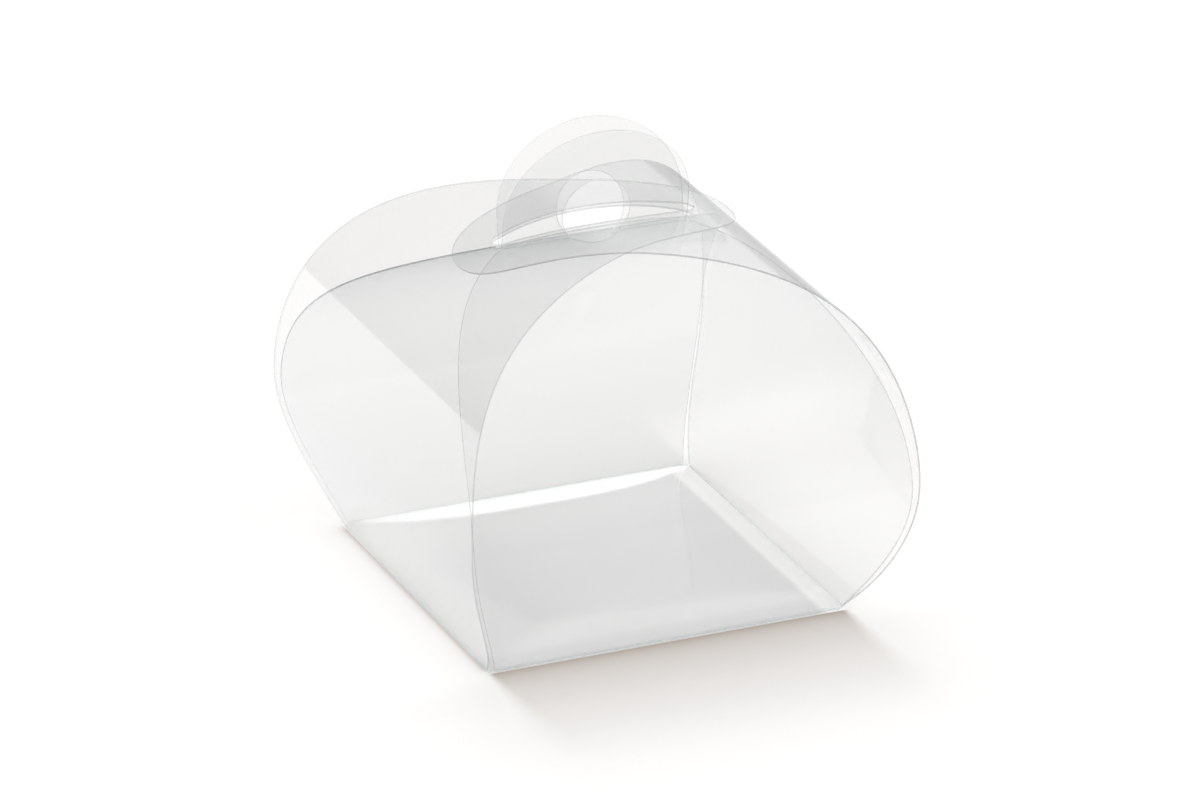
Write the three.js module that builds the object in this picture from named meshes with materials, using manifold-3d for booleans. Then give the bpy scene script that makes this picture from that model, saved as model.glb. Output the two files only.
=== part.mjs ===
// Clear cake box: one die-cut sheet of clear film, folded up from a square base.
// The left and right side panels arch over the top and end in slotted tongues, left over right.
// The front and back panels lean together under that arch and end in two upright handle tabs,
// which pass up through both slots. +Z is up, the ridge of the box runs along X, the front faces -Y.

import * as THREE from 'three';
import { mergeVertices } from 'three/addons/utils/BufferGeometryUtils.js';
import Module from 'manifold-3d';

// Film, in millimetres
const FILM = 0.4; // thickness of the clear sheet
const GAP = 0.3; // clear space left at a crease and between overlapping layers
const CORNER_RELIEF = 1; // die-cut notch at each end of a base crease

// Base
const BASE = 80; // side of the square base, crease to crease

// Left and right side panels, seen from the front
const SIDE_BULGE = 9.7; // how far the panel stands out past its base crease
const SIDE_BULGE_Z = 32; // height of that widest place
const SIDE_LEAN = 20; // degrees the panel leans out where it leaves the base
const ROOF_Z = 79.6; // height of the upper layer at the middle of the roof
const ROOF_RADIUS = 140; // arch of the upper tongue past the middle
const SIDE_WIDEST = 108.8; // front-to-back width at the widest place
const SIDE_MIDDLE = 42; // front-to-back width at the middle of the roof
const TONGUE_ROOT = 28; // distance from the middle of the roof back to the tongue's root
const TONGUE_REACH = 31; // length of the tongue past the middle of the roof

// Front and back panels, seen from the side
const END_BULGE = 13.2; // how far the panel stands out past its base crease
const END_BULGE_Z = 28; // height of that widest place
const END_LEAN = 40; // degrees the panel leans out where it leaves the base
const END_SLOPE = 26; // degrees of slope where the panel reaches the ridge
const EDGE_CLEARANCE = 0.9; // from the middle of the lower side film to the panel's edge

// Handle tabs
const TAB_WIDTH = 41.8;
const TAB_HEIGHT = 24.4; // above the ridge crease
const TAB_STRAIGHT = 6.1; // height at which the straight sides turn into the rounded top
const TAB_SPLAY = 8.5; // degrees each tab leans out from upright
const TAB_SPACING = 1.6; // between the two ridge creases
const HOLE_DIAMETER = 15;
const HOLE_HEIGHT = 5.4; // centre of the hole above the ridge crease

// Slots in both tongues
const SLOT_CLEARANCE = 1.5; // past each end of the tab
const SLOT_WIDTH = 9.6; // at the middle of the lens shape
const SLOT_END_RADIUS = 1.6;

// Fullness of the curves: how far each end of a bend pulls on it, as a share of the bend's size
const FOOT_PULL = { leave: 0.3, arrive: 0.35 };
const SHOULDER_PULL = { leave: 0.7, arrive: 0.67 };
const END_ROOF_PULL = { leave: 0.42, arrive: 0.73 };
const FLARE_PULL = { leave: 0.25, rise: 0.6, arrive: 0.4 };
const TAPER_PULL = { leave: 0.29, arrive: 0.15 };
const TONGUE_PULL = { leave: 0.55, narrow: 0.66 };

// Fineness of the curved film
const ROWS_PER_CURVE = 18;
const EDGE_SEGMENTS = 24;
const CREASE_SIDES = 8;
const MERGE_DISTANCE = 1e-4;

// Reach of the cutting tools past what they cut
const SLOT_TOOL_DEPTH = 20;
const HOLE_TOOL_DEPTH = 2.4;

const LAYER = FILM + GAP; // distance between the middles of two overlapping layers
const CREASE_RADIUS = FILM / 2;
const CREASE_MARGIN = CREASE_RADIUS + GAP; // from a crease's middle to the film beside it
const wasm = await Module();
wasm.setup();

function toSolid(geometry) {
  const bare = geometry.clone();
  bare.deleteAttribute('normal');
  bare.deleteAttribute('uv');
  const merged = mergeVertices(bare, MERGE_DISTANCE);
  const vertProperties = new Float32Array(merged.attributes.position.array);
  const triVerts = new Uint32Array(merged.index.array);
  return new wasm.Manifold(new wasm.Mesh({ numProp: 3, vertProperties, triVerts }));
}

function toGeometry(solid) {
  const mesh = solid.getMesh();
  const geometry = new THREE.BufferGeometry();
  geometry.setAttribute('position', new THREE.BufferAttribute(mesh.vertProperties, 3));
  geometry.setIndex(new THREE.BufferAttribute(mesh.triVerts, 1));
  return geometry;
}

function cut(geometry, tool) {
  return toGeometry(toSolid(geometry).subtract(toSolid(tool)));
}

// Profiles: the middle of the film in side view, x toward the middle of the box and y up.
// Each starts on its base crease at negative x, so every panel is built as a left panel and
// then turned about Z to its own side.
function direction(degrees) {
  const angle = THREE.MathUtils.degToRad(degrees);
  return new THREE.Vector2(Math.cos(angle), Math.sin(angle));
}

function footCurve(bulge, bulgeZ, lean) {
  const crease = new THREE.Vector2(-BASE / 2, CREASE_RADIUS);
  const widest = new THREE.Vector2(-BASE / 2 - bulge, bulgeZ);
  const leave = crease.clone().addScaledVector(direction(90 + lean), FOOT_PULL.leave * bulgeZ);
  const arrive = new THREE.Vector2(widest.x, (1 - FOOT_PULL.arrive) * bulgeZ);
  return new THREE.CubicBezierCurve(crease, leave, arrive, widest);
}

function sideNearCurves(roofZ) {
  const foot = footCurve(SIDE_BULGE, SIDE_BULGE_Z, SIDE_LEAN);
  const rise = roofZ - SIDE_BULGE_Z;
  const halfSpan = BASE / 2 + SIDE_BULGE;
  const leave = new THREE.Vector2(-halfSpan, SIDE_BULGE_Z + SHOULDER_PULL.leave * rise);
  const arrive = new THREE.Vector2(-SHOULDER_PULL.arrive * halfSpan, roofZ);
  const shoulder = new THREE.CubicBezierCurve(foot.v3, leave, arrive, new THREE.Vector2(0, roofZ));
  return [foot, shoulder];
}

function chain(curves) {
  const path = new THREE.CurvePath();
  curves.forEach((curve) => path.add(curve));
  return path;
}

function pointAt(path, length) {
  return path.getPoint(Math.min(length / path.getLength(), 1));
}

// The side of the film that faces out of the box
function outwardAt(path, length) {
  const tangent = path.getTangent(Math.min(length / path.getLength(), 1));
  return new THREE.Vector2(-tangent.y, tangent.x);
}

// Points on a parallel curve, this far inside the film's middle
function inset(path, distance) {
  const total = path.getLength();
  const points = [];
  const steps = 4 * EDGE_SEGMENTS;
  for (let i = 0; i <= steps; i += 1) {
    const length = (total * i) / steps;
    points.push(pointAt(path, length).addScaledVector(outwardAt(path, length), -distance));
  }
  return points;
}

// Where a list of points crosses a value of one coordinate, the other coordinate there
function crossing(points, axis, value, other) {
  for (let i = 1; i < points.length; i += 1) {
    const before = points[i - 1];
    const after = points[i];
    if ((before[axis] - value) * (after[axis] - value) <= 0) {
      const share = (value - before[axis]) / (after[axis] - before[axis]);
      return THREE.MathUtils.lerp(before[other], after[other], share);
    }
  }
  return points[points.length - 1][other];
}

const upperNear = chain(sideNearCurves(ROOF_Z));
const lowerNear = chain(sideNearCurves(ROOF_Z - LAYER));

// The upper (left) tongue arches on over the lower one
function upperProfile() {
  const sweep = TONGUE_REACH / ROOF_RADIUS;
  const far = new THREE.EllipseCurve(
    0, ROOF_Z - ROOF_RADIUS, ROOF_RADIUS, ROOF_RADIUS, Math.PI / 2, Math.PI / 2 - sweep, true);
  return chain([...sideNearCurves(ROOF_Z), far]);
}

// The lower (right) tongue tucks in under the upper panel's shoulder
function lowerProfile() {
  const under = inset(upperNear, LAYER).reverse().map((point) => new THREE.Vector2(-point.x, point.y));
  const far = new THREE.SplineCurve(under.filter((point) => point.x < TONGUE_REACH + LAYER));
  return chain([...sideNearCurves(ROOF_Z - LAYER), far]);
}

// Half outline of a side panel and its tongue on the flat blank: x along the film from the
// crease, y the half width there
function sideOutline(near) {
  const foot = near.curves[0].getLength();
  const middle = near.getLength();
  const tip = middle + TONGUE_REACH;
  const start = new THREE.Vector2(0, BASE / 2 - CORNER_RELIEF);
  const widest = new THREE.Vector2(foot, SIDE_WIDEST / 2);
  const waist = new THREE.Vector2(middle, SIDE_MIDDLE / 2);
  const spread = widest.y - start.y;
  const taper = widest.y - waist.y;
  const reach = middle - foot;
  const outline = chain([
    new THREE.CubicBezierCurve(
      start,
      new THREE.Vector2(FLARE_PULL.leave * foot, start.y + FLARE_PULL.rise * spread),
      new THREE.Vector2((1 - FLARE_PULL.arrive) * foot, widest.y),
      widest),
    new THREE.CubicBezierCurve(
      widest,
      new THREE.Vector2(foot + TAPER_PULL.leave * reach, widest.y),
      new THREE.Vector2(middle - TAPER_PULL.arrive * reach, waist.y + TAPER_PULL.arrive * taper),
      waist),
    new THREE.CubicBezierCurve(
      waist,
      new THREE.Vector2(middle + TONGUE_PULL.leave * TONGUE_REACH, TONGUE_PULL.narrow * waist.y),
      new THREE.Vector2(tip, TONGUE_PULL.narrow * waist.y),
      new THREE.Vector2(tip, 0)),
  ]);
  return outline.curves.flatMap((curve, i) => curve.getPoints(ROWS_PER_CURVE).slice(i === 0 ? 0 : 1));
}

// The rows of an outline between two lengths along the film, with a row cut at each end
function rowsBetween(outline, from, to) {
  const inside = outline.filter((row) => row.x > from + GAP && row.x < to - GAP);
  const rows = [new THREE.Vector2(from, crossing(outline, 'x', from, 'y')), ...inside];
  const last = outline[outline.length - 1];
  if (to < last.x) {
    rows.push(new THREE.Vector2(to, crossing(outline, 'x', to, 'y')));
  } else {
    rows.push(last);
  }
  return rows;
}

// A sheet of film bent along a profile, with straight lines across it
function bentFilm(profile, rows) {
  const positions = [];
  const corners = rows.map((row) => {
    const middle = pointAt(profile, row.x);
    const out = outwardAt(profile, row.x).multiplyScalar(FILM / 2);
    const outer = middle.clone().add(out);
    const inner = middle.clone().sub(out);
    return {
      outerFront: new THREE.Vector3(outer.x, -row.y, outer.y),
      outerBack: new THREE.Vector3(outer.x, row.y, outer.y),
      innerFront: new THREE.Vector3(inner.x, -row.y, inner.y),
      innerBack: new THREE.Vector3(inner.x, row.y, inner.y),
    };
  });
  const triangle = (a, b, c) => {
    if (!a.equals(b) && !b.equals(c) && !c.equals(a)) {
      positions.push(...a.toArray(), ...b.toArray(), ...c.toArray());
    }
  };
  const quad = (a, b, c, d) => {
    triangle(a, b, c);
    triangle(a, c, d);
  };
  for (let i = 1; i < corners.length; i += 1) {
    const p = corners[i - 1];
    const q = corners[i];
    quad(p.outerFront, q.outerFront, q.outerBack, p.outerBack);
    quad(p.innerBack, q.innerBack, q.innerFront, p.innerFront);
    quad(p.innerFront, q.innerFront, q.outerFront, p.outerFront);
    quad(p.outerBack, q.outerBack, q.innerBack, p.innerBack);
  }
  const first = corners[0];
  const last = corners[corners.length - 1];
  quad(first.innerFront, first.outerFront, first.outerBack, first.innerBack);
  quad(last.innerBack, last.outerBack, last.outerFront, last.innerFront);
  const geometry = new THREE.BufferGeometry();
  geometry.setAttribute('position', new THREE.Float32BufferAttribute(positions, 3));
  return mergeVertices(geometry, MERGE_DISTANCE);
}

// Cutting tools
function slotTool() {
  const middle = SLOT_WIDTH / 2;
  const end = TAB_WIDTH / 2 + SLOT_CLEARANCE - SLOT_END_RADIUS;
  const bow = 2 * middle - SLOT_END_RADIUS; // height of the control point that gives the lens its width
  const lens = new THREE.Shape();
  lens.moveTo(-end, -SLOT_END_RADIUS);
  lens.quadraticCurveTo(0, -bow, end, -SLOT_END_RADIUS);
  lens.absarc(end, 0, SLOT_END_RADIUS, -Math.PI / 2, Math.PI / 2, false);
  lens.quadraticCurveTo(0, bow, -end, SLOT_END_RADIUS);
  lens.absarc(-end, 0, SLOT_END_RADIUS, Math.PI / 2, (3 * Math.PI) / 2, false);
  const tool = new THREE.ExtrudeGeometry(lens, {
    depth: SLOT_TOOL_DEPTH, bevelEnabled: false, curveSegments: EDGE_SEGMENTS });
  return tool.translate(0, 0, ROOF_Z - SLOT_TOOL_DEPTH / 2);
}

// An upright disc across the film: its face lies in the YZ plane, its depth along X
function holeTool(height) {
  const circle = new THREE.Shape();
  circle.absarc(0, height, HOLE_DIAMETER / 2, 0, 2 * Math.PI, false);
  const tool = new THREE.ExtrudeGeometry(circle, {
    depth: HOLE_TOOL_DEPTH, bevelEnabled: false, curveSegments: EDGE_SEGMENTS });
  return tool.translate(0, 0, -HOLE_TOOL_DEPTH / 2).rotateX(Math.PI / 2).rotateZ(Math.PI / 2);
}

// The ridge crease: as high as the handle's width allows under the lower roof layer
const underRoof = inset(lowerNear, EDGE_CLEARANCE);
const ridge = new THREE.Vector2(-TAB_SPACING / 2, crossing(underRoof, 'x', -TAB_WIDTH / 2, 'y'));

function endProfile() {
  const foot = footCurve(END_BULGE, END_BULGE_Z, END_LEAN);
  const rise = ridge.y - END_BULGE_Z;
  const leave = new THREE.Vector2(foot.v3.x, END_BULGE_Z + END_ROOF_PULL.leave * rise);
  const arrive = ridge.clone().addScaledVector(direction(END_SLOPE), -END_ROOF_PULL.arrive * rise);
  return chain([foot, new THREE.CubicBezierCurve(foot.v3, leave, arrive, ridge)]);
}

// Half outline of the front or back panel: its edges run inside the side panels' film
function endOutline(profile) {
  const total = profile.getLength();
  const rows = [];
  const steps = 2 * ROWS_PER_CURVE;
  for (let i = 0; i <= steps; i += 1) {
    const length = (total * i) / steps;
    const height = Math.max(pointAt(profile, length).y, underRoof[0].y);
    const reach = -crossing(underRoof, 'y', height, 'x');
    rows.push(new THREE.Vector2(length, reach));
  }
  return rows;
}

function tabShape() {
  const half = TAB_WIDTH / 2;
  const shape = new THREE.Shape();
  shape.moveTo(half, CREASE_MARGIN);
  shape.lineTo(half, TAB_STRAIGHT);
  shape.absellipse(0, TAB_STRAIGHT, half, TAB_HEIGHT - TAB_STRAIGHT, 0, Math.PI, false, 0);
  shape.lineTo(-half, CREASE_MARGIN);
  return shape;
}

// Materials: one for the flat film, one for the scored lines, which catch more light
function filmMaterial() {
  return new THREE.MeshStandardMaterial({
    color: 0xeef2f2, roughness: 0.06, metalness: 0, transparent: true, opacity: 0.25 });
}

function creaseMaterial() {
  return new THREE.MeshStandardMaterial({
    color: 0xf6f8f8, roughness: 0.3, metalness: 0, transparent: true, opacity: 0.6 });
}

function named(name, geometry, material) {
  const mesh = new THREE.Mesh(geometry, material);
  mesh.name = name;
  return mesh;
}

// A scored line of the blank, from one y to another, as a fine rod of the film's thickness
function crease(name, from, to) {
  const rod = new THREE.CylinderGeometry(CREASE_RADIUS, CREASE_RADIUS, to - from, CREASE_SIDES);
  const mesh = named(name, rod.rotateY(Math.PI / CREASE_SIDES), creaseMaterial());
  mesh.position.y = (from + to) / 2;
  return mesh;
}

function basePanel() {
  const side = BASE - 2 * CREASE_MARGIN;
  const mesh = named('base_panel', new THREE.BoxGeometry(side, side, FILM), filmMaterial());
  mesh.position.z = FILM / 2;
  return mesh;
}

function baseCrease(name) {
  const half = BASE / 2 - CORNER_RELIEF;
  const mesh = crease(name, -half, half);
  mesh.position.x = -BASE / 2;
  mesh.position.z = CREASE_RADIUS;
  return mesh;
}

// Side panel and tongue, built as the left one
function side(sideName, profile, near) {
  const outline = sideOutline(near);
  const root = near.getLength() - TONGUE_ROOT;
  const tip = outline[outline.length - 1].x;
  const panel = bentFilm(profile, rowsBetween(outline, CREASE_MARGIN, root - GAP / 2));
  const tongue = bentFilm(profile, rowsBetween(outline, root + GAP / 2, tip));
  const group = new THREE.Group();
  group.add(named(`${sideName}_panel`, panel, filmMaterial()));
  group.add(named(`${sideName}_tongue`, cut(tongue, slotTool()), filmMaterial()));
  group.add(baseCrease(`${sideName}_base_crease`));
  return group;
}

// Front or back panel with its handle tab, built as if on the left
function end(endName) {
  const profile = endProfile();
  const total = profile.getLength();
  const panel = bentFilm(profile, rowsBetween(endOutline(profile), CREASE_MARGIN, total - CREASE_MARGIN));
  const notch = holeTool(HOLE_HEIGHT).rotateY(THREE.MathUtils.degToRad(90 - END_SLOPE));
  notch.translate(ridge.x, 0, ridge.y);

  const blank = new THREE.ExtrudeGeometry(tabShape(), {
    depth: FILM, bevelEnabled: false, curveSegments: EDGE_SEGMENTS });
  blank.translate(0, 0, -FILM / 2).rotateX(Math.PI / 2).rotateZ(Math.PI / 2);
  const tab = named(`${endName}_handle_tab`, cut(blank, holeTool(HOLE_HEIGHT)), filmMaterial());

  // The hole crosses the ridge crease, so the crease is in two lengths beside it
  const beside = Math.sqrt((HOLE_DIAMETER / 2) ** 2 - HOLE_HEIGHT ** 2) + CREASE_RADIUS;
  const handle = new THREE.Group();
  handle.add(tab);
  handle.add(crease(`${endName}_tab_crease_1`, -TAB_WIDTH / 2, -beside));
  handle.add(crease(`${endName}_tab_crease_2`, beside, TAB_WIDTH / 2));
  handle.position.set(ridge.x, 0, ridge.y);
  handle.rotation.y = -THREE.MathUtils.degToRad(TAB_SPLAY);

  const group = new THREE.Group();
  group.add(named(`${endName}_panel`, cut(panel, notch), filmMaterial()));
  group.add(handle);
  group.add(baseCrease(`${endName}_base_crease`));
  return group;
}

const box = new THREE.Group();
box.add(basePanel());

const left = side('left', upperProfile(), upperNear);
const right = side('right', lowerProfile(), lowerNear);
const front = end('front');
const back = end('back');
right.rotation.z = Math.PI;
front.rotation.z = Math.PI / 2;
back.rotation.z = -Math.PI / 2;
box.add(left, right, front, back);

export default box;
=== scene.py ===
"""A clear cake box folded from one sheet of film, standing on a pale floor.

Each panel is a sheet of film bent along its profile, as it lies on the flat blank: a list of rows
across the film, each with its length from the crease and the half widths of the sheet and of any
hole in it. Lengths are in metres. +Z is up, the ridge runs along X and the front faces -Y.
"""

import math

import bpy
import numpy as np
from mathutils import Matrix, Vector


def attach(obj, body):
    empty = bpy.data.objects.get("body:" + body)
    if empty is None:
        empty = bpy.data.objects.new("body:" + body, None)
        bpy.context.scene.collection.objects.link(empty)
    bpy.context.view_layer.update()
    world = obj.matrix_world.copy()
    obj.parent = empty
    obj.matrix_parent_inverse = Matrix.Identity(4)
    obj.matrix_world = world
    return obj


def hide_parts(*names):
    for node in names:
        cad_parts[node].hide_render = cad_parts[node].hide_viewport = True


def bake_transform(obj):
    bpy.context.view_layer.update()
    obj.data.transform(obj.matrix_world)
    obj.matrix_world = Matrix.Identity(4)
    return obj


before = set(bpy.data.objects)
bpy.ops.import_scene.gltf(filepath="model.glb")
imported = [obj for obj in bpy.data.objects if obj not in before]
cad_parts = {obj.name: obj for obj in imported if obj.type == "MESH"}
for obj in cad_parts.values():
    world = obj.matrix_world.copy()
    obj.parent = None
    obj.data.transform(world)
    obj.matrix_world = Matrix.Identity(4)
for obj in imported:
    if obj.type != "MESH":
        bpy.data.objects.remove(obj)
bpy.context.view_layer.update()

MM = 0.001

# Film
FILM = 0.4 * MM  # thickness
LAYER = 0.7 * MM  # between the middles of two overlapping layers
RIM = 0.12 * MM  # how far the cut edge rounds out past the faces
CREASE_RADIUS = FILM / 2
CREASE_MARGIN = 0.26 * MM  # from a crease's middle to the film beside it

# Base
BASE = 80 * MM  # crease to crease
CORNER_RELIEF = 1 * MM  # die-cut notch at each end of a base crease
BASE_SLOPE = 0.19  # of the film as it rises from the front and back creases
BASE_SLOPE_LONG = 14 * MM  # how far these slopes reach at the middle
BASE_SLOPE_TAPER = 0.9  # and how much less at their ends
BASE_SLOPE_SIDE = 3 * MM  # how far the slopes reach at the left and right creases
BASE_KNEE = 12  # how sharply the slopes turn into the level part

# Each panel is built as the left one and then turned about Z to its own side
TURNS = {"left": 0, "right": math.pi, "front": math.pi / 2, "back": -math.pi / 2}

# Left and right panels
SIDE_BULGE = 9.7 * MM
SIDE_BULGE_Z = 32 * MM
SIDE_LEAN = 20  # degrees
ROOF_Z = 79.6 * MM
ROOF_RADIUS = 140 * MM
SIDE_WIDEST = 108.8 * MM
SIDE_MIDDLE = 42 * MM
TONGUE_REACH = 31 * MM

# Front and back panels
END_BULGE = 13.2 * MM
END_BULGE_Z = 28 * MM
END_LEAN = 40  # degrees
END_SLOPE = 26  # degrees
EDGE_CLEARANCE = 0.9 * MM

# Handle tabs
TAB_WIDTH = 41.8 * MM
TAB_HEIGHT = 24.4 * MM
TAB_STRAIGHT = 6.1 * MM
TAB_SPLAY = 8.5  # degrees
TAB_SPACING = 1.6 * MM
HOLE_RADIUS = 7.5 * MM
HOLE_HEIGHT = 5.4 * MM

# Slots in both tongues
SLOT_CLEARANCE = 1.5 * MM
SLOT_WIDTH = 9.6 * MM
SLOT_END_RADIUS = 2.3 * MM  # room for a tab that folds out

# Fullness of the curves, as shares of each bend's size
FOOT_PULL = (0.3, 0.35)
SHOULDER_PULL = (0.7, 0.67)
END_ROOF_PULL = (0.42, 0.73)
FLARE_PULL = (0.25, 0.6, 0.4)
TAPER_PULL = (0.29, 0.15)
TONGUE_PULL = (0.55, 0.66)

# Fineness
CURVE_POINTS = 400
ROWS = 46
ROUND_ROWS = 10
COLUMNS = 14
CREASE_SIDES = 16
SAME_ROW = 0.04 * MM  # rows nearer than this are one
SAME_POINT = 0.001 * MM
NOTCH_TURN = 1.4  # radians that the rows follow the finger hole round, below the ridge crease
NORMAL_STEP = 0.1 * MM  # over which the base's slope is measured

# How a crease's ends round off: distance from the end and share of the full radius
BEAD_ROUND = ((0.0, 0.3), (0.15 * MM, 0.75), (0.4 * MM, 1.0))

# A sheet's materials by number: its faces, its folds, and its cut edges at y below 0, at y above 0
# and around the hole in it. The two sides' cut edges may take lit and shaded copies of one edge
# material, painted lighter or darker by which way they face; the edge around the hole takes a
# painted highlight.
FACE, FOLD, LOW_EDGE, HIGH_EDGE, HOLE_EDGE = range(5)

# Materials
NOISE_RANGE = (0.3, 0.7)  # in which nearly all noise lies
FILM_FALLOFF = 5.0  # how fast the film's mirroring grows towards a shallow angle
FILM_HAZE = 0.006
FILM_MIRROR = (0.93, 0.95, 0.95, 1)
EDGE_PASSED = (0.96, 0.97, 0.97, 1)

# Camera: the photograph's angle, with its picture 1200 by 800 pixels
CAMERA_AZIMUTH = -23.688
CAMERA_ELEVATION = 23.409
CAMERA_ROLL = 0.319
CAMERA_DISTANCE = 1.70704
FOCAL_PIXELS = 8204.4
PICTURE_WIDTH = 1200
SENSOR = 36
LOOK_RIGHT = 1.657 * MM  # of the axis, along the camera's right
LOOK_UP = 37.92 * MM
CAMERA_REACH = 50

# Light paths
TRANSPARENT_BOUNCES = 48  # each layer of film takes two
BOUNCES = 16
GLOSSY_BOUNCES = 6

# In the next three groups, each pair is where something starts and where it is full.

# What the film mirrors of the studio, by direction: x to the right, y to the back and z up
DOME = 0.85  # soft light from all round, for what isn't mirrored
STUDIO_GREY = 0.2
STUDIO_RIGHT = 0.3  # what the right of the back adds
STUDIO_WINDOW = 0.4  # what the bright wall at the far right of the back adds
STUDIO_OVERHEAD = 0.6  # what the ceiling adds
STUDIO_HORIZON = 1.2  # what the foot of the wall behind the table adds
STUDIO_FRONT = 0.5  # what the front adds, lower down
BEHIND = (0.2, 0.6)  # along y
BACK_RIGHT = (-0.15, 0.4)  # along x
WINDOW = (0.29, 0.39)  # along x
OVERHEAD = (0.4, 1.0)  # along z
FRONT = (0.0, -0.6)  # along y
FRONT_LOW = (0.8, 0.0)  # along z
HORIZON_TOP = (0.18, 0.12)  # along z
HORIZON_LEFT = (0.1, 0.2)  # along x
HORIZON_RIGHT = (0.5, 0.44)  # along x

# Table
FLOOR_SIZE = 8.0
FLOOR_Z = -0.2 * MM
TABLE_COLOUR = (0.8, 0.8, 0.8, 1)
GLOW_COLOUR = (1.0, 0.95, 0.91, 1)
TABLE_GLOW = 0.22
PAINTED_LIGHT_BESIDE = 0.09  # painted light: how much more of that there is to the left and right of the box, over its shadow
GLOW_INNER = (BASE / 2, BASE / 2 + 2 * MM)  # to each side
GLOW_OUTER = (3 * BASE / 2, BASE)
GLOW_FRONT = (-0.65 * BASE, -0.45 * BASE)  # along y
GLOW_BACK = (0.8 * BASE, 0.5 * BASE)  # along y less a share of x
GLOW_SLANT = 0.25
BOX_PAINTED_SHADE = 0.09  # painted shade: how much less the table glows under the box
UNDER_BLUR = 0.5 * MM
UNDER_BACK = 0.15  # painted light: what the back of that adds
UNDER_ARC = 0.05  # painted light: what a light zone at the left and front of that adds
ARC_LEFT = (-26 * MM, -29 * MM)  # along x and a share of y
ARC_LEFT_SLANT = 0.26
ARC_FRONT = (-22 * MM, -25 * MM)  # along y and a share of x
ARC_FRONT_SLANT = 0.1
UNDER_RIGHT = 0.27  # painted light: what a light band along the right crease adds
RIGHT_BAND = (34.5 * MM, 36.5 * MM)
UNDER_FRONT = 0.1  # painted shade: what a dark band along the front crease takes
FRONT_BAND = (-30 * MM, -36 * MM)
FAR_TABLE = 0.5  # how bright the far table is at the back right, where it is mirrored
FAR_BACK = (0.1, 0.2)  # along y
FAR_RIGHT = (0.0, 0.12)  # along x
FRONT_TABLE = 0.7  # and in front
FAR_FRONT = (-0.1, -0.4)  # along y

# Painted shade on the table, in front of the box and along its left crease
COLOUR_OF_PAINTED_SHADE = (0.2, 0.09, 0.01, 1)  # so warm because little of it shows
SHADE_LENGTH = 57 * MM  # how far the shade reaches in front of the box
SHADE_BROAD = 0.37
SHADE_CONTACT = 2.5 * MM
SHADE_CLOSE = 0.29
SHADE_START = 0.6 * MM
SHADE_BLUR = 0.8 * MM  # of its left and right ends, at the box
SHADE_SPREAD = 0.14  # and how much that grows with the distance from it
FRINGE = 0.9 * MM  # how far the dark fringe at the left crease reaches
FRINGE_DEPTH = 0.5
FRINGE_START = 0.3 * MM
FRINGE_TAPER = 3 * MM  # at the crease's ends


def bezier(*corners):
    """Points on the cubic curve with these four corners."""
    a, b, c, d = (np.array(corner, float) for corner in corners)
    t = np.linspace(0, 1, CURVE_POINTS)[:, None]
    return (1 - t) ** 3 * a + 3 * (1 - t) ** 2 * t * b + 3 * (1 - t) * t**2 * c + t**3 * d


def chain(*curves):
    """Curves that meet end to end as one list of points."""
    return np.concatenate([curves[0]] + [curve[1:] for curve in curves[1:]])


class Profile:
    """A bent sheet in side view: x towards the middle of the box and y up, by length along it."""

    def __init__(self, points):
        self.points = points
        steps = np.linalg.norm(np.diff(points, axis=0), axis=1)
        self.lengths = np.concatenate([[0], np.cumsum(steps)])
        self.length = self.lengths[-1]
        slopes = np.gradient(points, self.lengths, axis=0)
        self.slopes = slopes / np.linalg.norm(slopes, axis=1)[:, None]

    def at(self, length):
        return np.array([np.interp(length, self.lengths, self.points[:, k]) for k in (0, 1)])

    def outward(self, length):
        x, y = (np.interp(length, self.lengths, self.slopes[:, k]) for k in (0, 1))
        return np.array([-y, x]) / math.hypot(x, y)

    def length_at(self, x):
        """The length at which the roof part of the profile passes over x."""
        roof = self.points[:, 1] > SIDE_BULGE_Z
        return np.interp(x, self.points[roof, 0], self.lengths[roof])

    def inset(self, distance):
        """Points on a parallel line inside this one."""
        out = np.stack([-self.slopes[:, 1], self.slopes[:, 0]], axis=1)
        return self.points - distance * out


def direction(degrees):
    angle = math.radians(degrees)
    return np.array([math.cos(angle), math.sin(angle)])


def foot_curve(bulge, bulge_z, lean):
    crease = np.array([-BASE / 2, CREASE_RADIUS])
    widest = np.array([-BASE / 2 - bulge, bulge_z])
    leave = crease + FOOT_PULL[0] * bulge_z * direction(90 + lean)
    arrive = np.array([widest[0], (1 - FOOT_PULL[1]) * bulge_z])
    return bezier(crease, leave, arrive, widest)


def side_near(roof_z):
    """The side film from its crease to the middle of the roof, and the length of its foot."""
    foot = foot_curve(SIDE_BULGE, SIDE_BULGE_Z, SIDE_LEAN)
    half_span = BASE / 2 + SIDE_BULGE
    rise = roof_z - SIDE_BULGE_Z
    shoulder = bezier(
        foot[-1],
        (-half_span, SIDE_BULGE_Z + SHOULDER_PULL[0] * rise),
        (-SHOULDER_PULL[1] * half_span, roof_z),
        (0, roof_z),
    )
    return foot, shoulder


def upper_profile():
    """The left film, whose tongue arches over the right one."""
    angles = np.linspace(0, TONGUE_REACH / ROOF_RADIUS, CURVE_POINTS)
    far = np.stack([np.sin(angles), np.cos(angles) - 1], axis=1) * ROOF_RADIUS + [0, ROOF_Z]
    return Profile(chain(*side_near(ROOF_Z), far))


def lower_profile():
    """The right film, whose tongue tucks in under the left panel's shoulder."""
    under = Profile(chain(*side_near(ROOF_Z))).inset(LAYER)[::-1] * [-1, 1]
    far = under[(under[:, 0] > 0) & (under[:, 0] < TONGUE_REACH + LAYER)]
    return Profile(chain(*side_near(ROOF_Z - LAYER), far))


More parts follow.
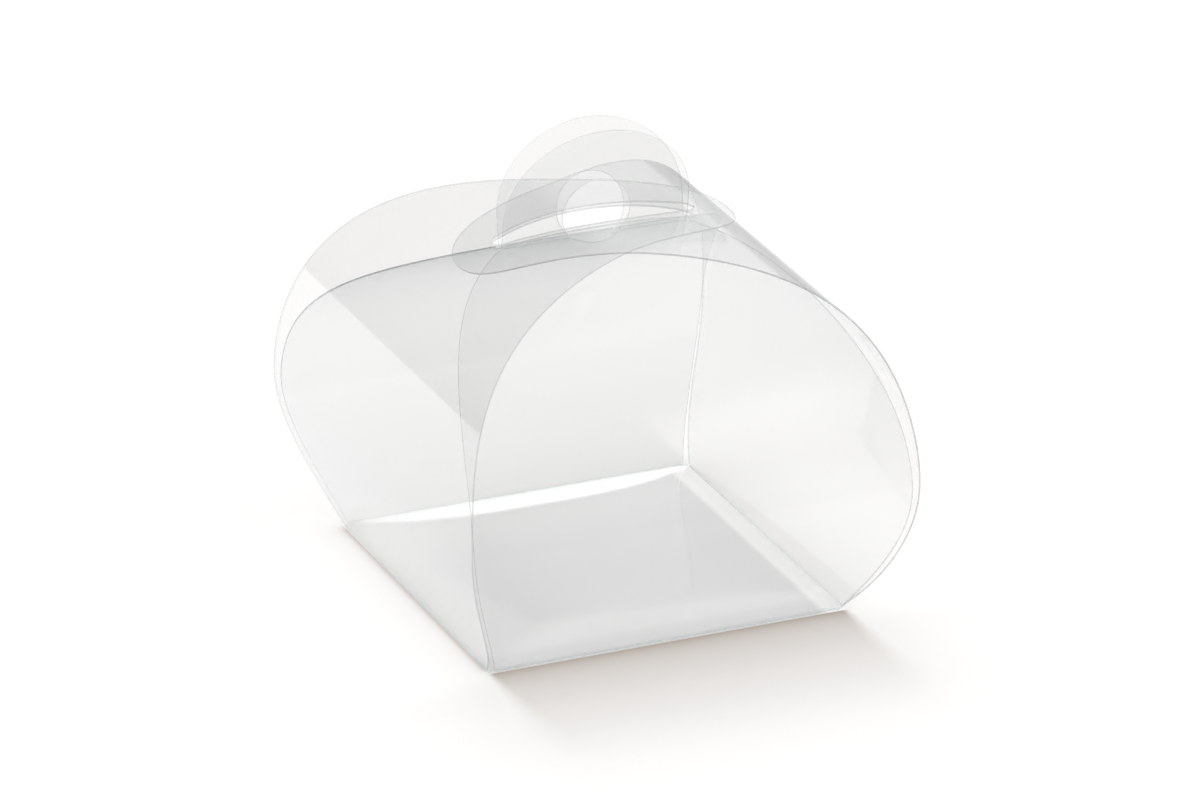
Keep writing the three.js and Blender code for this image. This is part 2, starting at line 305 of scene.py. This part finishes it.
def slot_half_width(x):
    """Half width of the lens-shaped slot at this place along the ridge."""
    end = TAB_WIDTH / 2 + SLOT_CLEARANCE - SLOT_END_RADIUS
    past = abs(x) - end
    if past > 0:
        return math.sqrt(max(SLOT_END_RADIUS**2 - past**2, 0))
    t = (x / end + 1) / 2
    bow = SLOT_WIDTH - SLOT_END_RADIUS
    return SLOT_END_RADIUS * ((1 - t) ** 2 + t**2) + 2 * t * (1 - t) * bow


def slot_rows(profile):
    """Extra rows that follow the round ends of the slot."""
    end = TAB_WIDTH / 2 + SLOT_CLEARANCE - SLOT_END_RADIUS
    turns = np.sin(np.linspace(0, math.pi / 2, ROUND_ROWS))
    places = [side * (end + SLOT_END_RADIUS * turn) for side in (-1, 1) for turn in turns]
    return [profile.length_at(x) for x in places]


def thinned(lengths):
    """Sorted lengths with no two nearly the same."""
    kept = []
    for length in sorted(lengths):
        if not kept or length - kept[-1] > SAME_ROW:
            kept.append(length)
    return kept


def side_rows(profile, roof_z):
    """Rows of a side panel and its tongue: (length, outer half width, slot half width)."""
    foot, shoulder = side_near(roof_z)
    foot_length = Profile(foot).length
    middle = foot_length + Profile(shoulder).length
    tip = middle + TONGUE_REACH
    start = (0, BASE / 2 - CORNER_RELIEF)
    widest = (foot_length, SIDE_WIDEST / 2)
    waist = (middle, SIDE_MIDDLE / 2)
    spread = widest[1] - start[1]
    taper = widest[1] - waist[1]
    reach = middle - foot_length
    narrow = TONGUE_PULL[1] * waist[1]
    outline = chain(
        bezier(
            start,
            (FLARE_PULL[0] * foot_length, start[1] + FLARE_PULL[1] * spread),
            ((1 - FLARE_PULL[2]) * foot_length, widest[1]),
            widest,
        ),
        bezier(
            widest,
            (foot_length + TAPER_PULL[0] * reach, widest[1]),
            (middle - TAPER_PULL[1] * reach, waist[1] + TAPER_PULL[1] * taper),
            waist,
        ),
        bezier(waist, (middle + TONGUE_PULL[0] * TONGUE_REACH, narrow), (tip, narrow), (tip, 0)),
    )
    lengths = list(np.linspace(CREASE_MARGIN, foot_length, ROWS // 2))
    lengths += list(np.linspace(foot_length, middle, ROWS * 2))
    lengths += list(middle + TONGUE_REACH * np.sin(np.linspace(0, math.pi / 2, ROWS)))
    lengths = thinned(lengths + slot_rows(profile))
    lengths[-1] = tip - SAME_ROW / 4
    rows = []
    for length in lengths:
        outer = np.interp(length, outline[:, 0], outline[:, 1])
        inner = slot_half_width(profile.at(length)[0]) if length > foot_length else 0
        rows.append((length, outer, inner))
    return rows


def ridge_point(under_roof):
    """The ridge crease: as high as the handle's width allows under the lower roof layer."""
    height = np.interp(-TAB_WIDTH / 2, under_roof[:, 0], under_roof[:, 1])
    return np.array([-TAB_SPACING / 2, height])


def end_profile(ridge):
    foot = foot_curve(END_BULGE, END_BULGE_Z, END_LEAN)
    rise = ridge[1] - END_BULGE_Z
    leave = (foot[-1][0], END_BULGE_Z + END_ROOF_PULL[0] * rise)
    arrive = ridge - END_ROOF_PULL[1] * rise * direction(END_SLOPE)
    return Profile(chain(foot, bezier(foot[-1], leave, arrive, ridge)))


def hole_half_width(height):
    """Half width of the finger hole at this height above the ridge crease."""
    return math.sqrt(max(HOLE_RADIUS**2 - (height - HOLE_HEIGHT) ** 2, 0))


def end_rows(profile, under_roof):
    """Rows of the front or back panel, whose edges run inside the side panels' film."""
    order = np.argsort(under_roof[:, 1])
    total = profile.length - CREASE_MARGIN
    notch = HOLE_RADIUS - HOLE_HEIGHT
    lengths = list(np.linspace(CREASE_MARGIN, total, ROWS * 2))
    turns = np.linspace(0, NOTCH_TURN, ROUND_ROWS)
    lengths += list(profile.length - notch * np.cos(turns))
    lengths = [length for length in thinned(lengths) if length <= total - SAME_ROW] + [total]
    rows = []
    for length in lengths:
        height = max(profile.at(length)[1], under_roof[order[0], 1])
        outer = -np.interp(height, under_roof[order, 1], under_roof[order, 0])
        rows.append((length, outer, hole_half_width(length - profile.length)))
    return rows


def tab_rows():
    """Rows of a handle tab, by height above the ridge crease."""
    round_part = TAB_HEIGHT - TAB_STRAIGHT
    hole_top = HOLE_HEIGHT + HOLE_RADIUS
    heights = list(np.linspace(CREASE_MARGIN, TAB_STRAIGHT, ROWS // 3))
    heights += list(TAB_STRAIGHT + round_part * np.sin(np.linspace(0, math.pi / 2, ROWS)))
    heights += list(hole_top - HOLE_RADIUS * (1 - np.cos(np.linspace(0, math.pi / 2, ROWS // 2))))
    heights = thinned(heights)
    heights[-1] = TAB_HEIGHT - SAME_ROW / 4
    rows = []
    for height in heights:
        past = max(height - TAB_STRAIGHT, 0) / round_part
        outer = TAB_WIDTH / 2 * math.sqrt(1 - past**2)
        rows.append((height, outer, hole_half_width(height)))
    return rows


def sheet_grid(rows):
    """Flat points (row, y) and faces of a sheet that is split down its middle by any hole in it."""
    points = []
    faces = []
    places = {}

    def place(i, side, j):
        length, outer, inner = rows[i]
        y = side * (inner + (outer - inner) * j / COLUMNS)
        key = (i, round(y / SAME_POINT))
        if key not in places:
            places[key] = len(points)
            points.append((i, y))
        return places[key]

    for i in range(len(rows) - 1):
        for side in (1, -1):
            for j in range(COLUMNS):
                corners = [place(i, side, j), place(i + 1, side, j),
                           place(i + 1, side, j + 1), place(i, side, j + 1)]
                if side < 0:
                    corners.reverse()
                corners = list(dict.fromkeys(corners))
                if len(corners) > 2:
                    faces.append(corners)
    return points, faces


def in_scene(name, data):
    """A new object in the scene."""
    made = bpy.data.objects.new(name, data)
    bpy.context.scene.collection.objects.link(made)
    return made


def thick_sheet(name, middles, normals, faces, edge_kinds, materials):
    """A closed mesh of the film's thickness around a sheet of points, with rounded cut edges.

    Each point has the number of the material that an edge there gets.
    """
    middles = np.array(middles, float)
    normals = np.array(normals, float)
    ways = dict.fromkeys(way for face in faces for way in zip(face, face[1:] + face[:1]))
    border = [(a, b) for a, b in ways if (b, a) not in ways]
    outs = {}
    for a, b in border:
        out = np.cross(middles[b] - middles[a], normals[a])
        out /= np.linalg.norm(out) or 1
        for end in (a, b):
            outs[end] = outs.get(end, np.zeros(3)) + out
    outs = {end: out / (np.linalg.norm(out) or 1) for end, out in outs.items()}
    drawn_in = middles.copy()
    for end, out in outs.items():
        drawn_in[end] -= RIM * out
    count = len(middles)
    top = drawn_in + normals * FILM / 2
    bottom = drawn_in - normals * FILM / 2
    ring = {end: 2 * count + i for i, end in enumerate(outs)}
    rim = np.array([middles[end] for end in outs])
    skin = [list(face) for face in faces] + [[count + v for v in reversed(face)] for face in faces]
    edge = []
    kinds = [FACE] * len(skin)
    for a, b in border:
        edge.append([b, a, ring[a], ring[b]])
        edge.append([ring[b], ring[a], count + a, count + b])
        kinds += [max(edge_kinds[a], edge_kinds[b])] * 2
    mesh = bpy.data.meshes.new(name)
    mesh.from_pydata(np.concatenate([top, bottom, rim]).tolist(), [], skin + edge)
    for material in materials:
        mesh.materials.append(material)
    mesh.polygons.foreach_set("material_index", kinds)
    mesh.polygons.foreach_set("use_smooth", [True] * len(mesh.polygons))
    corners = {(min(a, b), max(a, b)) for a, b in border}
    corners |= {(count + a, count + b) for a, b in corners}
    sharp = [tuple(sorted(e.vertices)) in corners for e in mesh.edges]
    mesh.attributes.new("sharp_edge", "BOOLEAN", "EDGE").data.foreach_set("value", sharp)
    mesh.validate()
    return in_scene(name, mesh)


def bent_sheet(name, rows, fold_rows, profile, turn, materials):
    """Film bent along a profile as a left panel, then turned about Z to its own side."""
    points, faces = sheet_grid(rows)
    edge_kinds = []
    for i, y in points:
        if i in fold_rows:
            edge_kinds.append(FOLD)
        elif 0 < abs(y) < rows[i][2] + SAME_ROW:
            edge_kinds.append(HOLE_EDGE)
        else:
            edge_kinds.append(LOW_EDGE if y < 0 else HIGH_EDGE)
    places = [profile.at(row[0]) for row in rows]
    outs = [profile.outward(row[0]) for row in rows]
    spin = np.array(Matrix.Rotation(turn, 3, "Z"))
    middles = [spin @ (places[i][0], y, places[i][1]) for i, y in points]
    normals = [spin @ (outs[i][0], 0, outs[i][1]) for i, y in points]
    return thick_sheet(name, middles, normals, faces, edge_kinds, materials)


def straight_profile(foot, degrees):
    """A flat sheet that rises from its foot at this angle."""
    line = np.linspace(0, 1, CURVE_POINTS)[:, None] * TAB_HEIGHT
    return Profile(np.array(foot) + line * direction(degrees))


def level_off(distance, reach):
    """Grows with distance, and turns level at a soft knee where it gets to the reach."""
    return distance / (1 + (distance / reach) ** BASE_KNEE) ** (1 / BASE_KNEE)


def base_height(x, y):
    """How high the base film stands off the table: a pillow with long slopes at front and back."""
    from_side, from_end = (max(BASE / 2 - abs(place), 0) for place in (x, y))
    reach = BASE_SLOPE_LONG * (1 - BASE_SLOPE_TAPER * abs(2 * x / BASE) ** 3)
    share = level_off(from_side, BASE_SLOPE_SIDE) / BASE_SLOPE_SIDE
    return BASE_SLOPE * level_off(from_end, reach) * share


def base_sheet(name, materials):
    """The base: flat at its creases, and arched up off the table between them."""
    half = BASE / 2 - CREASE_MARGIN
    steps = np.sin(np.linspace(-math.pi / 2, math.pi / 2, ROWS + 1)) * half
    count = len(steps)
    middles = []
    normals = []
    for x in steps:
        for y in steps:
            middles.append((x, y, FILM / 2 + base_height(x, y)))
            rise_x = base_height(x + NORMAL_STEP, y) - base_height(x - NORMAL_STEP, y)
            rise_y = base_height(x, y + NORMAL_STEP) - base_height(x, y - NORMAL_STEP)
            normals.append(Vector((-rise_x, -rise_y, 2 * NORMAL_STEP)).normalized())
    faces = [
        [i * count + j, (i + 1) * count + j, (i + 1) * count + j + 1, i * count + j + 1]
        for i in range(count - 1)
        for j in range(count - 1)
    ]
    return thick_sheet(name, middles, normals, faces, [FOLD] * len(middles), materials)


def crease_bead(name, start, end, material):
    """A scored line of the blank: a fine rounded bead of the film's thickness."""
    start, end = Vector(start), Vector(end)
    along = (end - start).normalized()
    side = along.cross(Vector((0, 0, 1))).normalized()
    over = side.cross(along)
    length = (end - start).length
    places = list(BEAD_ROUND)
    places += [(length - place, share) for place, share in reversed(BEAD_ROUND)]
    verts = []
    for place, share in places:
        for k in range(CREASE_SIDES):
            angle = 2 * math.pi * k / CREASE_SIDES
            around = side * math.cos(angle) + over * math.sin(angle)
            verts.append(start + along * place + around * (CREASE_RADIUS * share))
    faces = []
    for i in range(len(places) - 1):
        for k in range(CREASE_SIDES):
            near, far = i * CREASE_SIDES + k, i * CREASE_SIDES + (k + 1) % CREASE_SIDES
            faces.append([near, near + CREASE_SIDES, far + CREASE_SIDES, far])
    faces.append(list(range(CREASE_SIDES)))
    faces.append([len(verts) - 1 - k for k in range(CREASE_SIDES)])
    mesh = bpy.data.meshes.new(name)
    mesh.from_pydata(verts, [], faces)
    mesh.materials.append(material)
    mesh.polygons.foreach_set("use_smooth", [True] * (len(faces) - 2) + [False] * 2)
    return in_scene(name, mesh)


def node(tree, kind, **inputs):
    """A shader node with some of its inputs set to values or linked from other sockets.

    An input is named by its own name, or by its place, as in i0.
    """
    made = tree.nodes.new(kind)
    for key, value in inputs.items():
        by_place = key[0] == "i" and key[1:].isdigit()
        socket = made.inputs[int(key[1:])] if by_place else made.inputs[key]
        if isinstance(value, bpy.types.NodeSocket):
            tree.links.new(value, socket)
        else:
            socket.default_value = value
    return made


def maths(tree, operation, a, b=0.0):
    made = node(tree, "ShaderNodeMath", i0=a, i1=b)
    made.operation = operation
    return made.outputs[0]


def product(tree, value, *others):
    for other in others:
        value = maths(tree, "MULTIPLY", value, other)
    return value


def total(tree, value, *others):
    for other in others:
        value = maths(tree, "ADD", value, other)
    return value


def map_range(tree, value, from_min, from_max, to_min, to_max):
    made = node(tree, "ShaderNodeMapRange", Value=value)
    made.inputs["From Min"].default_value = from_min
    made.inputs["From Max"].default_value = from_max
    made.inputs["To Min"].default_value = to_min
    made.inputs["To Max"].default_value = to_max
    return made


def smooth_step(tree, value, low, high):
    """0 below low, 1 above high and smooth between them. Low may be the greater of the two."""
    ends = (0.0, 1.0) if low < high else (1.0, 0.0)
    step = map_range(tree, value, min(low, high), max(low, high), *ends)
    step.interpolation_type = "SMOOTHSTEP"
    return step.outputs["Result"]


def exponential(tree, value, reach):
    """Falls from 1 at nothing by a factor e over each reach."""
    return maths(tree, "EXPONENT", product(tree, value, -1 / reach))


def coordinates(tree, kind):
    """The x, y and z sockets of one kind of texture coordinates."""
    place = tree.nodes.new("ShaderNodeTexCoord").outputs[kind]
    return node(tree, "ShaderNodeSeparateXYZ", Vector=place).outputs


def noise(tree, scale, detail, low, high):
    """Noise over the piece's own space, between two values."""
    place = tree.nodes.new("ShaderNodeTexCoord").outputs["Object"]
    grain = node(tree, "ShaderNodeTexNoise", Vector=place, Scale=scale, Detail=detail)
    return map_range(tree, grain.outputs["Fac"], *NOISE_RANGE, low, high).outputs["Result"]


def new_material(name):
    material = bpy.data.materials.new(name)
    material.use_nodes = True
    tree = material.node_tree
    tree.nodes.clear()
    return material, tree


def show(tree, kind, shader):
    """Links a shader to the output of a material or a world."""
    out = tree.nodes.new(kind)
    tree.links.new(shader.outputs[0], out.inputs["Surface"])


def film_material(name, head_on, passed, shallow=1.0):
    """Clear film: each face mirrors more at a shallow angle, and has a faint haze of its own.

    head_on and shallow are the mirrored shares at these two angles, and passed is the colour of
    what the rest of one face lets through.
    """
    material, tree = new_material(name)
    waves = noise(tree, scale=90, detail=3, low=0, high=1)
    bump = node(tree, "ShaderNodeBump", Strength=0.25, Distance=0.02 * MM, Height=waves)
    facing = node(tree, "ShaderNodeLayerWeight", Blend=0.5).outputs["Facing"]
    steep = maths(tree, "POWER", facing, FILM_FALLOFF)
    mirrored = total(tree, product(tree, steep, shallow - head_on), head_on)
    haze = noise(tree, scale=60, detail=4, low=0.5 * FILM_HAZE, high=1.5 * FILM_HAZE)
    polish = noise(tree, scale=140, detail=5, low=0.03, high=0.07)
    clear = node(tree, "ShaderNodeBsdfTransparent", Color=(*passed, 1))
    surface = node(tree, "ShaderNodeBsdfPrincipled", Metallic=0.9, Roughness=polish,
                   Normal=bump.outputs["Normal"])
    surface.inputs["Base Color"].default_value = FILM_MIRROR
    mix = node(tree, "ShaderNodeMixShader", i0=total(tree, mirrored, haze), i1=clear.outputs[0],
               i2=surface.outputs[0])
    show(tree, "ShaderNodeOutputMaterial", mix)
    return material


def edge_material(name, solid, colour, rough=0.2):
    """A cut edge or a scored line: it sends light sideways, so it shows as a fine line."""
    material, tree = new_material(name)
    clear = node(tree, "ShaderNodeBsdfTransparent", Color=EDGE_PASSED)
    shade = node(tree, "ShaderNodeMix", i0=noise(tree, scale=400, detail=3, low=0, high=1))
    shade.data_type = "RGBA"
    shade.inputs["A"].default_value = (*(0.85 * part for part in colour), 1)
    shade.inputs["B"].default_value = (*colour, 1)
    grain = noise(tree, scale=300, detail=3, low=rough, high=1.6 * rough)
    surface = node(tree, "ShaderNodeBsdfPrincipled", Roughness=grain)
    tree.links.new(shade.outputs["Result"], surface.inputs["Base Color"])
    share = noise(tree, scale=500, detail=3, low=0.85 * solid, high=min(1.1 * solid, 1))
    mix = node(tree, "ShaderNodeMixShader", i0=share, i1=clear.outputs[0], i2=surface.outputs[0])
    show(tree, "ShaderNodeOutputMaterial", mix)
    return material


def shown_straight(tree):
    """1 for rays that show the backdrop: from the camera, from a mirror or through glass."""
    rays = tree.nodes.new("ShaderNodeLightPath").outputs
    both = maths(tree, "MAXIMUM", rays["Is Camera Ray"], rays["Is Glossy Ray"])
    return maths(tree, "MAXIMUM", both, rays["Is Transmission Ray"])


def painted_shade_on_table(tree, x, y):
    """How far the table is given painted shade: in front of the box, away from the light behind it,
    and in a fine fringe along the left crease."""
    ahead = maths(tree, "SUBTRACT", product(tree, y, -1.0), BASE / 2)
    broad = product(tree, smooth_step(tree, ahead, SHADE_LENGTH, -SHADE_LENGTH), 2 * SHADE_BROAD)
    close = product(tree, exponential(tree, ahead, SHADE_CONTACT), SHADE_CLOSE)
    aside = maths(tree, "SUBTRACT", maths(tree, "ABSOLUTE", x), BASE / 2)
    blur = total(tree, product(tree, maths(tree, "MAXIMUM", ahead, 0.0), SHADE_SPREAD), SHADE_BLUR)
    within = smooth_step(tree, maths(tree, "DIVIDE", aside, blur), 1.0, -1.0)
    started = smooth_step(tree, ahead, 0.0, SHADE_START)
    front = product(tree, total(tree, broad, close), started, within)
    outside = maths(tree, "SUBTRACT", product(tree, x, -1.0), BASE / 2)
    along = smooth_step(tree, maths(tree, "ABSOLUTE", y), BASE / 2, BASE / 2 - FRINGE_TAPER)
    fringe = product(tree, exponential(tree, outside, FRINGE), FRINGE_DEPTH,
                     smooth_step(tree, outside, 0.0, FRINGE_START), along)
    return maths(tree, "MAXIMUM", front, fringe)


def box_painted_shade(tree, x, y):
    """Painted shade under the box, as how much less the table glows there: least at the back and
    along the right crease, most along the front crease, and less again in a zone at the left and
    front."""
    leftward = total(tree, x, product(tree, y, ARC_LEFT_SLANT))
    forward = total(tree, y, product(tree, x, ARC_FRONT_SLANT))
    arc = maths(tree, "MAXIMUM", smooth_step(tree, leftward, *ARC_LEFT),
                smooth_step(tree, forward, *ARC_FRONT))
    front = product(tree, smooth_step(tree, y, *FRONT_BAND), UNDER_FRONT)
    back = product(tree, smooth_step(tree, y, 0.0, BASE / 2), UNDER_BACK)
    right = product(tree, smooth_step(tree, x, *RIGHT_BAND), UNDER_RIGHT)
    more = total(tree, product(tree, arc, UNDER_ARC), back, right)
    return maths(tree, "SUBTRACT", total(tree, front, BOX_PAINTED_SHADE), more)


def table_glow(tree, x, y):
    """How much the table glows: more beside the box, as painted light, and less under it, as painted
    shade.
    """
    across = maths(tree, "ABSOLUTE", x)
    square = maths(tree, "MAXIMUM", across, maths(tree, "ABSOLUTE", y))
    under = smooth_step(tree, square, BASE / 2 + UNDER_BLUR, BASE / 2)
    slanted = maths(tree, "SUBTRACT", y, product(tree, x, GLOW_SLANT))
    beside = product(tree, smooth_step(tree, across, *GLOW_INNER),
                     smooth_step(tree, across, *GLOW_OUTER), smooth_step(tree, y, *GLOW_FRONT),
                     smooth_step(tree, slanted, *GLOW_BACK))
    less = product(tree, under, box_painted_shade(tree, x, y))
    more = product(tree, beside, PAINTED_LIGHT_BESIDE)
    return total(tree, maths(tree, "SUBTRACT", more, less), TABLE_GLOW)


def table_material():
    """A white table that keeps the box's shadow, with painted shade, faintly warm, in front of the
    box and along its left crease, and a glow painted lighter beside the box and darker under it.

    What the film mirrors of it differs in two ways: the painted shade doesn't show, and the table is
    dimmer far off at the back right and in front.
    """
    material, tree = new_material("white_table")
    x, y, _ = coordinates(tree, "Object")
    mirrored = tree.nodes.new("ShaderNodeLightPath").outputs["Is Glossy Ray"]
    lit = node(tree, "ShaderNodeBsdfDiffuse", Color=TABLE_COLOUR)
    # The glow is painted lighter beside the box and painted darker under it.
    strength = product(tree, shown_straight(tree), table_glow(tree, x, y))
    glow = node(tree, "ShaderNodeEmission", Color=GLOW_COLOUR, Strength=strength)
    bright = node(tree, "ShaderNodeAddShader", i0=lit.outputs[0], i1=glow.outputs[0])
    # Painted shade: the table is mixed towards a warm dark colour in front of the box and along its
    # left crease, except where the film mirrors it.
    shaded = node(tree, "ShaderNodeBsdfDiffuse", Color=COLOUR_OF_PAINTED_SHADE)
    direct = maths(tree, "SUBTRACT", 1.0, mirrored)
    shade = product(tree, painted_shade_on_table(tree, x, y), direct)
    near = node(tree, "ShaderNodeMixShader", i0=shade, i1=bright.outputs[0], i2=shaded.outputs[0])
    back = product(tree, smooth_step(tree, y, *FAR_BACK), smooth_step(tree, x, *FAR_RIGHT))
    front = smooth_step(tree, y, *FAR_FRONT)
    dim_level = node(tree, "ShaderNodeMix", i0=front, i2=FAR_TABLE, i3=FRONT_TABLE)
    dim = node(tree, "ShaderNodeEmission", Color=(1, 1, 1, 1), Strength=dim_level.outputs[0])
    far = product(tree, maths(tree, "MAXIMUM", back, front), mirrored)
    surface = node(tree, "ShaderNodeMixShader", i0=far, i1=near.outputs[0], i2=dim.outputs[0])
    show(tree, "ShaderNodeOutputMaterial", surface)
    return material


def make_floor():
    mesh = bpy.data.meshes.new("floor")
    half = FLOOR_SIZE / 2
    corners = [(-half, -half), (half, -half), (half, half), (-half, half)]
    mesh.from_pydata([(x, y, FLOOR_Z) for x, y in corners], [], [[0, 1, 2, 3]])
    mesh.materials.append(table_material())
    floor = in_scene("floor", mesh)


def make_world():
    """What the film mirrors is a grey studio: lighter overhead, lower down in front, at the right of
    the back, and most of all low at the back, where the wall meets the table. The camera sees plain
    white, and what isn't mirrored is lit evenly from all round."""
    world = bpy.data.worlds.new("studio")
    bpy.context.scene.world = world
    world.use_nodes = True
    tree = world.node_tree
    tree.nodes.clear()
    x, y, z = coordinates(tree, "Generated")
    behind = smooth_step(tree, y, *BEHIND)
    window = product(tree, smooth_step(tree, x, *WINDOW), STUDIO_WINDOW)
    right = product(tree, behind, smooth_step(tree, x, *BACK_RIGHT),
                    total(tree, window, STUDIO_RIGHT))
    overhead = product(tree, smooth_step(tree, z, *OVERHEAD), STUDIO_OVERHEAD)
    front = product(tree, smooth_step(tree, y, *FRONT), smooth_step(tree, z, *FRONT_LOW),
                    STUDIO_FRONT)
    horizon = product(tree, behind, smooth_step(tree, z, *HORIZON_TOP),
                      smooth_step(tree, x, *HORIZON_LEFT), smooth_step(tree, x, *HORIZON_RIGHT),
                      STUDIO_HORIZON)
    grey = total(tree, right, overhead, front, horizon, STUDIO_GREY)
    rays = tree.nodes.new("ShaderNodeLightPath").outputs
    strength = node(tree, "ShaderNodeMix", i0=rays["Is Glossy Ray"], i2=DOME, i3=grey)
    seen = maths(tree, "MAXIMUM", rays["Is Camera Ray"], rays["Is Transmission Ray"])
    shown = node(tree, "ShaderNodeMix", i0=seen, i2=strength.outputs[0], i3=1.0)
    background = node(tree, "ShaderNodeBackground", Color=(1, 1, 1, 1), Strength=shown.outputs[0])
    show(tree, "ShaderNodeOutputWorld", background)


def soft_sun(name, azimuth, elevation, spread, strength):
    """An even, soft light from far away, from this azimuth round the object and this elevation."""
    lamp = bpy.data.lights.new(name, "SUN")
    lamp.energy = strength
    lamp.angle = math.radians(spread)
    a, e = math.radians(azimuth), math.radians(elevation)
    place = Vector((math.sin(a) * math.cos(e), -math.cos(a) * math.cos(e), math.sin(e)))
    sun = in_scene(name, lamp)
    sun.visible_glossy = False
    sun.location = place
    sun.rotation_euler = (-place).to_track_quat("-Z", "Y").to_euler()


def make_camera():
    azimuth, elevation = math.radians(CAMERA_AZIMUTH), math.radians(CAMERA_ELEVATION)
    back = Vector((math.sin(azimuth) * math.cos(elevation),
                   -math.cos(azimuth) * math.cos(elevation), math.sin(elevation)))
    right = Vector((math.cos(azimuth), math.sin(azimuth), 0))
    up = back.cross(right)
    roll = math.radians(CAMERA_ROLL)
    across = right * math.cos(roll) + up * math.sin(roll)
    upright = up * math.cos(roll) - right * math.sin(roll)
    data = bpy.data.cameras.new("camera")
    data.sensor_width = SENSOR
    data.lens = SENSOR * FOCAL_PIXELS / PICTURE_WIDTH
    data.clip_end = CAMERA_REACH
    camera = in_scene("camera", data)
    target = right * LOOK_RIGHT + Vector((0, 0, LOOK_UP))
    camera.matrix_world = Matrix.Translation(target + back * CAMERA_DISTANCE) @ Matrix(
        (across, upright, back)).transposed().to_4x4()
    bpy.context.scene.camera = camera


def make_side(name, profile, roof_z, materials):
    """A side panel and its tongue as one sheet."""
    turn = TURNS[name]
    film = bent_sheet(f"{name}_film", side_rows(profile, roof_z), {0}, profile, turn, materials)
    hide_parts(f"{name}_panel", f"{name}_tongue")
    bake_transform(film)


def make_end(name, materials, tab_materials, crease):
    """A front or back panel, its handle tab and the two lengths of ridge crease between them."""
    turn = TURNS[name]
    spin = Matrix.Rotation(turn, 3, "Z")
    lower_near = Profile(chain(*side_near(ROOF_Z - LAYER)))
    under_roof = lower_near.inset(EDGE_CLEARANCE)
    ridge = ridge_point(under_roof)
    profile = end_profile(ridge)
    rows = end_rows(profile, under_roof)
    panel = bent_sheet(f"{name}_film", rows, {0, len(rows) - 1}, profile, turn, materials)
    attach(panel, f"{name}_panel")
    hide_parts(f"{name}_panel")
    upright = straight_profile(ridge, 90 + TAB_SPLAY)
    tab = bent_sheet(f"{name}_tab_film", tab_rows(), {0}, upright, turn, tab_materials)
    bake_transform(tab)
    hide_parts(f"{name}_handle_tab")
    beside = hole_half_width(0) + CREASE_RADIUS
    for number, (near, far) in enumerate([(-TAB_WIDTH / 2, -beside), (beside, TAB_WIDTH / 2)], 1):
        ends = [tuple(spin @ Vector((ridge[0], y, ridge[1]))) for y in (near, far)]
        bead = crease_bead(f"{name}_ridge_bead_{number}", *ends, crease)
        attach(bead, f"{name}_panel")
        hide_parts(f"{name}_tab_crease_{number}")


def make_base(materials, crease):
    base = base_sheet("base_film", materials)
    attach(base, "base")
    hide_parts("base_panel")
    half = BASE / 2 - CORNER_RELIEF
    for name, turn in TURNS.items():
        spin = Matrix.Rotation(turn, 3, "Z")
        ends = [tuple(spin @ Vector((-BASE / 2, y, CREASE_RADIUS))) for y in (-half, half)]
        bead = crease_bead(f"{name}_base_bead", *ends, crease)
        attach(bead, "base")
        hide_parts(f"{name}_base_crease")


film = film_material("clear_film", head_on=0.047, passed=(0.972, 0.973, 0.9725))
lower_film = film_material("clear_film_lower", head_on=0.041, passed=(0.968, 0.969, 0.9685),
                           shallow=0.66)
front_film = film_material("clear_film_front", head_on=0.042, passed=(0.98, 0.981, 0.9805))
tab_film = film_material("clear_film_tab", head_on=0.03, passed=(0.962, 0.963, 0.9625))
fold = edge_material("fold", 0.05, (0.95, 0.95, 0.95), 0.3)
# Cut edges in lit and shaded copies of one material: the side films' back edges, the back panel's
# right edge and the tabs' edges are painted light, the side films' front edges painted dark, the
# back panel's left edge darkest, and the front panel's edges a middle tone.
painted_lit_cut = edge_material("cut_edge_painted_lit", 0.3, (0.85, 0.85, 0.85))
edge = edge_material("cut_edge", 0.36, (0.6, 0.6, 0.6))
painted_shade_cut = edge_material("cut_edge_painted_shade", 0.25, (0.42, 0.42, 0.42))
right_painted_shade_cut = edge_material("cut_edge_painted_shade_right", 0.5, (0.4, 0.4, 0.4))
painted_deep_shade_cut = edge_material("cut_edge_painted_deep_shade", 0.6, (0.36, 0.35, 0.35))
# Painted highlight: the edges round the finger holes and the slots are near white.
painted_highlight_hole_cut = edge_material("cut_edge_painted_highlight_hole", 0.6, (0.97, 0.97, 0.97))
score = edge_material("score_line", 0.2, (0.95, 0.95, 0.95), 0.3)
tab_materials = [tab_film, fold, painted_lit_cut, painted_lit_cut, painted_highlight_hole_cut]

make_base([film, fold], score)
make_side("left", upper_profile(), ROOF_Z, [film, fold, painted_shade_cut, painted_lit_cut, painted_highlight_hole_cut])
make_side("right", lower_profile(), ROOF_Z - LAYER,
          [lower_film, fold, painted_lit_cut, right_painted_shade_cut, painted_highlight_hole_cut])
make_end("front", [front_film, fold, edge, edge, painted_highlight_hole_cut], tab_materials, score)
make_end("back", [film, fold, painted_deep_shade_cut, painted_lit_cut, painted_highlight_hole_cut], tab_materials, score)

make_floor()
make_world()
soft_sun("key", azimuth=177, elevation=50, spread=35, strength=0.8)
make_camera()

scene = bpy.context.scene
scene.view_settings.view_transform = "Standard"
scene.cycles.transparent_max_bounces = TRANSPARENT_BOUNCES
scene.cycles.max_bounces = BOUNCES
scene.cycles.glossy_bounces = GLOSSY_BOUNCES
